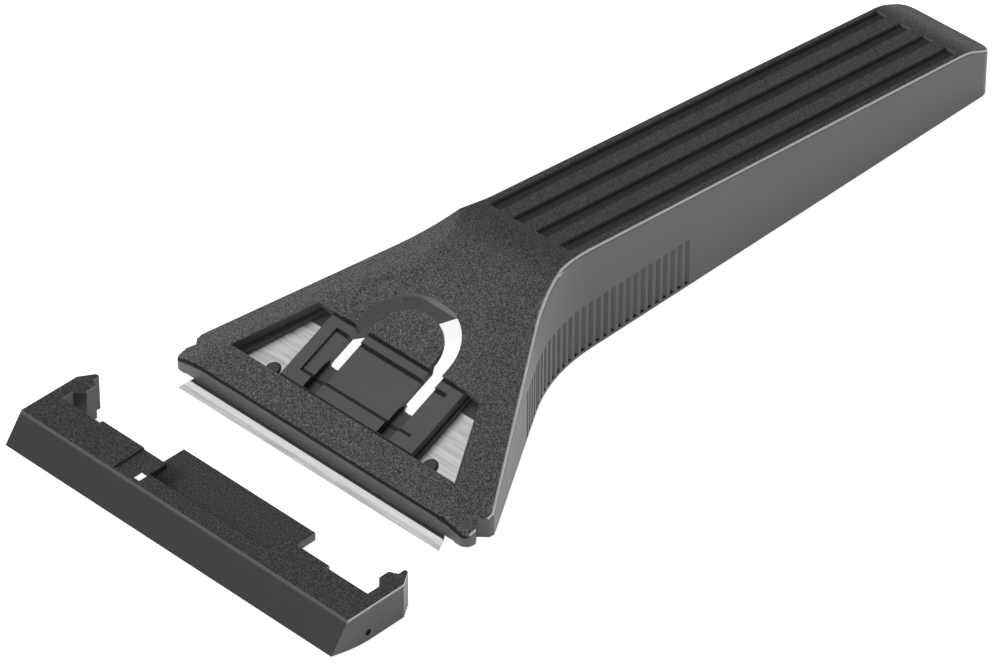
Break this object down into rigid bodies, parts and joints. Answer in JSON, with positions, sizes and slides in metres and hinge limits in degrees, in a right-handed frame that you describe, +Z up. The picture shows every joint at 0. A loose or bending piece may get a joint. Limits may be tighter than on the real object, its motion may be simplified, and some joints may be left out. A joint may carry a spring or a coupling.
{
  "type": "plastic scraper",
  "caption": "Hand scraper moulded in one piece, with a bare trapezoid blade clipped under its wide head and a push-on blade guard lying in front of the edge.",
  "frame": {"origin": "bottom centre of the box round the scraper and its guard, on the surface that both lie on", "axes": "+Y from the blade's edge to the end of the handle, +Z up from the surface it lies on, +X along the cutting edge to the right"},
  "size_m": [0.0748, 0.1878, 0.0212],
  "materials": {
    "handle_plastic": "spark-eroded grain on the top, satin sides",
    "guard_plastic": "fine grain on the top, satin slopes",
    "blade_steel": "ground along the edge"
  },
  "bodies": {
    "root": {"scraper_handle": "handle_plastic", "blade": "blade_steel", "blade_guard": "guard_plastic"}
  },
  "joints": []
}
